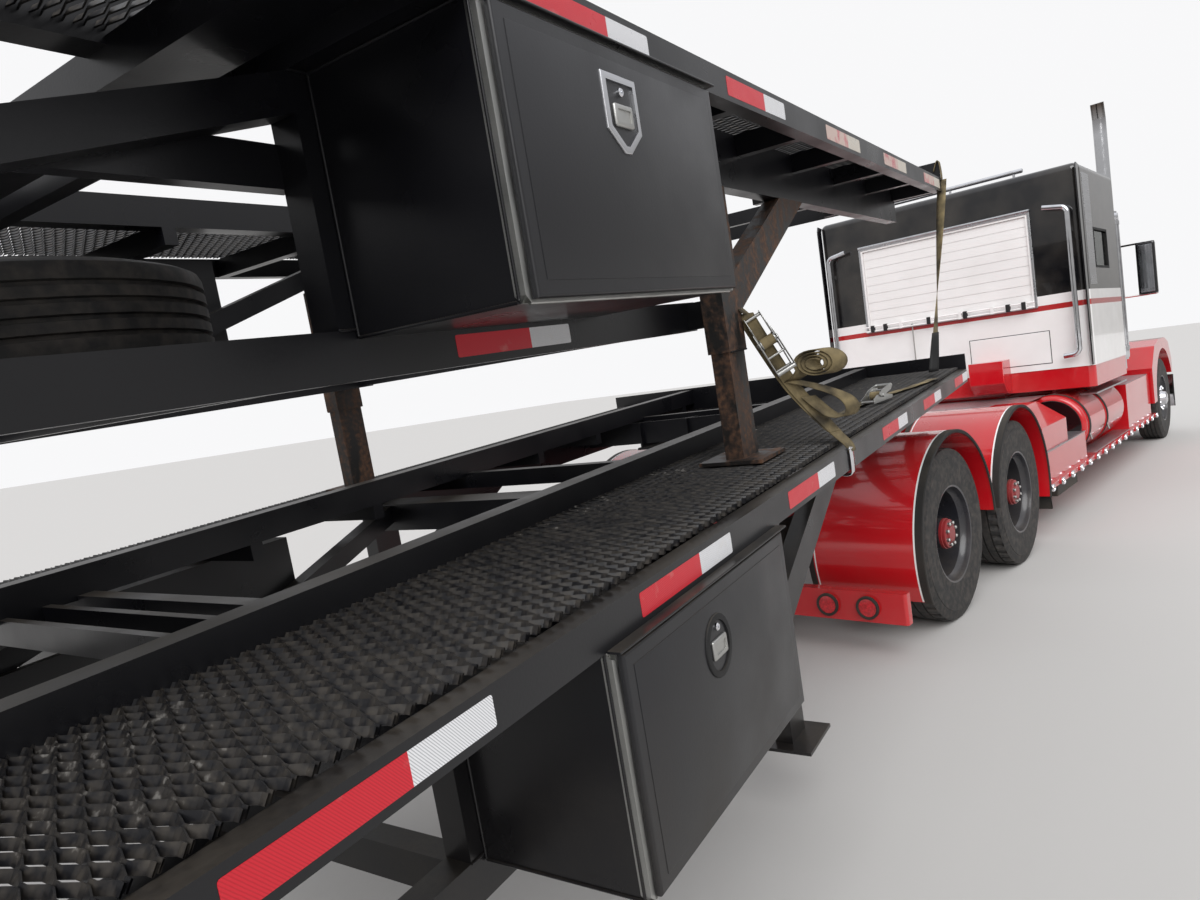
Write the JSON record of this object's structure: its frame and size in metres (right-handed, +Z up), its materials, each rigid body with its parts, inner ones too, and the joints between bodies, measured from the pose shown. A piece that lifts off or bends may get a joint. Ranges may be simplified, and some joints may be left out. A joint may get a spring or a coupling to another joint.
{
  "type": "car transporter truck",
  "caption": "Long-nosed sleeper tractor with a two-level wedge car-hauling semi-trailer, hinged at the kingpin, with turning wheels, steering, doors and ramps.",
  "frame": {"origin": "middle of the whole rig's outline, on the ground", "axes": "+X forward along the tractor, +Y to its left, +Z up; the trailer trails at an angle of about 10 degrees, as it stands in the picture"},
  "size_m": [24.5556, 5.4044, 3.8854],
  "materials": {
    "red_paint": "high-gloss red enamel",
    "red_frame_paint": "gloss red enamel on the chassis rails",
    "white_paint": "gloss white enamel",
    "black_paint": "gloss black enamel",
    "black_frame_paint": "satin black paint on welded steel tube",
    "black_door_paint": "semi-gloss black sheet steel",
    "chassis_black": "matt black chassis paint",
    "engine_paint": "grey engine paint",
    "greased_steel": "greased steel casting",
    "expanded_steel": "black raised expanded steel, worn bright on its edges",
    "rusty_steel": "bare drop tube with brown rust under black paint",
    "chrome": "polished chrome",
    "stainless": "polished stainless sheet",
    "tyre_rubber": "tyre rubber on a painted steel wheel",
    "rubber": "black rubber edge and flap",
    "wheel_steel": "dark painted steel disc",
    "glass": "clear tinted glass",
    "seat_vinyl": "dark grey vinyl",
    "lamp_red": "red lamp lens",
    "lamp_clear": "clear lamp lens",
    "lamp_amber": "amber lamp lens",
    "tape_red": "red reflective tape",
    "tape_white": "white reflective tape",
    "webbing": "olive polyester webbing",
    "galvanised": "zinc-plated steel"
  },
  "bodies": {
    "tractor": {"tractor_frame": "red_frame_paint", "engine_block": "engine_paint", "fifth_wheel": "greased_steel", "drive_axle_front": "chassis_black", "drive_axle_rear": "chassis_black", "front_axle": "chassis_black", "drive_fenders": "red_paint", "tail_bar": "red_paint", "fuel_tanks": "red_paint", "side_steps": "red_paint", "sleeper_shell": "white_paint", "sleeper_hatch": "white_paint", "standpipes": "chrome", "exhaust_stacks": "chrome", "cab_shell": "white_paint", "cab_glass": "glass", "cab_interior": "seat_vinyl", "roof_fittings": "chrome", "front_bumper": "chrome"},
    "trailer": {"lower_frame": "black_frame_paint", "lower_runways": "expanded_steel", "landing_legs": "black_frame_paint", "lower_toolboxes": "black_frame_paint", "upper_frame": "black_frame_paint", "upper_runways": "expanded_steel", "upper_legs": "rusty_steel", "upper_toolboxes": "black_frame_paint", "spare_wheel": "tyre_rubber", "trailer_axles": "chassis_black", "tail_fittings": "black_frame_paint"},
    "hood": {"hood": "red_paint", "radiator_grille": "chrome", "headlamps": "chrome"},
    "cab_door_left": {"cab_door_left": "white_paint", "door_glass_left": "glass"},
    "cab_door_right": {"cab_door_right": "white_paint", "door_glass_right": "glass"},
    "knuckle_left": {"knuckle_left": "chassis_black"},
    "knuckle_right": {"knuckle_right": "chassis_black"},
    "steer_wheel_left": {"steer_wheel_left": "tyre_rubber"},
    "steer_wheel_right": {"steer_wheel_right": "tyre_rubber"},
    "drive_wheel_front_left": {"drive_wheel_front_left": "tyre_rubber"},
    "drive_wheel_front_right": {"drive_wheel_front_right": "tyre_rubber"},
    "drive_wheel_rear_left": {"drive_wheel_rear_left": "tyre_rubber"},
    "drive_wheel_rear_right": {"drive_wheel_rear_right": "tyre_rubber"},
    "trailer_wheel_front_left": {"trailer_wheel_front_left": "tyre_rubber"},
    "trailer_wheel_front_right": {"trailer_wheel_front_right": "tyre_rubber"},
    "trailer_wheel_rear_left": {"trailer_wheel_rear_left": "tyre_rubber"},
    "trailer_wheel_rear_right": {"trailer_wheel_rear_right": "tyre_rubber"},
    "lower_box_door_left": {"lower_box_door_left": "black_door_paint"},
    "lower_box_door_right": {"lower_box_door_right": "black_door_paint"},
    "upper_box_door_left": {"upper_box_door_left": "black_door_paint"},
    "upper_box_door_right": {"upper_box_door_right": "black_door_paint"},
    "ramp_left": {"ramp_left": "black_frame_paint"},
    "ramp_right": {"ramp_right": "black_frame_paint"}
  },
  "joints": [
    {"name": "trailer_turn", "type": "hinge", "parent": "tractor", "child": "trailer", "pos_m": [3.67784, 1.28225, 1.222], "axis": [0, 0, 1], "range_deg": [-79.8, 60.2]},
    {"name": "hood_tilt", "type": "hinge", "parent": "tractor", "child": "hood", "pos_m": [12.11784, 1.28225, 0.8], "axis": [0, 1, 0], "range_deg": [0, 55]},
    {"name": "steer_left", "type": "hinge", "parent": "tractor", "child": "knuckle_left", "pos_m": [11.44784, 2.13225, 0.515], "axis": [0, 0, 1], "range_deg": [-35, 35]},
    {"name": "steer_wheel_spin_left", "type": "hinge", "parent": "knuckle_left", "child": "steer_wheel_left", "pos_m": [11.44784, 2.41725, 0.515], "axis": [0, 1, 0], "continuous": true},
    {"name": "cab_door_swing_left", "type": "hinge", "parent": "tractor", "child": "cab_door_left", "pos_m": [10.23784, 2.31625, 1.5], "axis": [0, 0, -1], "range_deg": [0, 70]},
    {"name": "drive_wheel_front_left_spin", "type": "hinge", "parent": "tractor", "child": "drive_wheel_front_left", "pos_m": [4.99784, 2.21475, 0.515], "axis": [0, 1, 0], "continuous": true},
    {"name": "drive_wheel_rear_left_spin", "type": "hinge", "parent": "tractor", "child": "drive_wheel_rear_left", "pos_m": [3.67784, 2.21475, 0.515], "axis": [0, 1, 0], "continuous": true},
    {"name": "trailer_wheel_front_left_spin", "type": "hinge", "parent": "trailer", "child": "trailer_wheel_front_left", "pos_m": [-7.33271, 0.40028, 0.398], "axis": [-0.1702, 0.9854, 0], "continuous": true},
    {"name": "trailer_wheel_rear_left_spin", "type": "hinge", "parent": "trailer", "child": "trailer_wheel_rear_left", "pos_m": [-8.61374, 0.17901, 0.398], "axis": [-0.1702, 0.9854, 0], "continuous": true},
    {"name": "lower_box_door_drop_left", "type": "hinge", "parent": "trailer", "child": "lower_box_door_left", "pos_m": [-0.12199, 1.9411, 0.70546], "axis": [-0.9844, -0.17, -0.0454], "range_deg": [0, 90]},
    {"name": "upper_box_door_drop_left", "type": "hinge", "parent": "trailer", "child": "upper_box_door_left", "pos_m": [-0.24275, 1.92024, 1.86109], "axis": [-0.9844, -0.17, -0.0454], "range_deg": [0, 90]},
    {"name": "ramp_drop_left", "type": "hinge", "parent": "trailer", "child": "ramp_left", "pos_m": [-12.18508, -0.48354, 0.6], "axis": [0.1702, -0.9854, 0], "range_deg": [0, 111]},
    {"name": "steer_right", "type": "hinge", "parent": "tractor", "child": "knuckle_right", "pos_m": [11.44784, 0.43225, 0.515], "axis": [0, 0, 1], "range_deg": [-35, 35]},
    {"name": "steer_wheel_spin_right", "type": "hinge", "parent": "knuckle_right", "child": "steer_wheel_right", "pos_m": [11.44784, 0.14725, 0.515], "axis": [0, 1, 0], "continuous": true},
    {"name": "cab_door_swing_right", "type": "hinge", "parent": "tractor", "child": "cab_door_right", "pos_m": [10.23784, 0.24825, 1.5], "axis": [0, 0, 1], "range_deg": [0, 70]},
    {"name": "drive_wheel_front_right_spin", "type": "hinge", "parent": "tractor", "child": "drive_wheel_front_right", "pos_m": [4.99784, 0.34975, 0.515], "axis": [0, 1, 0], "continuous": true},
    {"name": "drive_wheel_rear_right_spin", "type": "hinge", "parent": "tractor", "child": "drive_wheel_rear_right", "pos_m": [3.67784, 0.34975, 0.515], "axis": [0, 1, 0], "continuous": true},
    {"name": "trailer_wheel_front_right_spin", "type": "hinge", "parent": "trailer", "child": "trailer_wheel_front_right", "pos_m": [-6.99059, -1.58039, 0.398], "axis": [-0.1702, 0.9854, 0], "continuous": true},
    {"name": "trailer_wheel_rear_right_spin", "type": "hinge", "parent": "trailer", "child": "trailer_wheel_rear_right", "pos_m": [-8.27162, -1.80166, 0.398], "axis": [-0.1702, 0.9854, 0], "continuous": true},
    {"name": "lower_box_door_drop_right", "type": "hinge", "parent": "trailer", "child": "lower_box_door_right", "pos_m": [0.3192, -0.61308, 0.70546], "axis": [0.9844, 0.17, 0.0454], "range_deg": [0, 90]},
    {"name": "upper_box_door_drop_right", "type": "hinge", "parent": "trailer", "child": "upper_box_door_right", "pos_m": [0.19844, -0.63394, 1.86109], "axis": [0.9844, 0.17, 0.0454], "range_deg": [0, 90]},
    {"name": "ramp_drop_right", "type": "hinge", "parent": "trailer", "child": "ramp_right", "pos_m": [-11.85828, -2.37552, 0.6], "axis": [0.1702, -0.9854, 0], "range_deg": [0, 111]}
  ],
  "couplings": [
    {"joint": "steer_right", "follows": "steer_left", "ratio": 1}
  ]
}
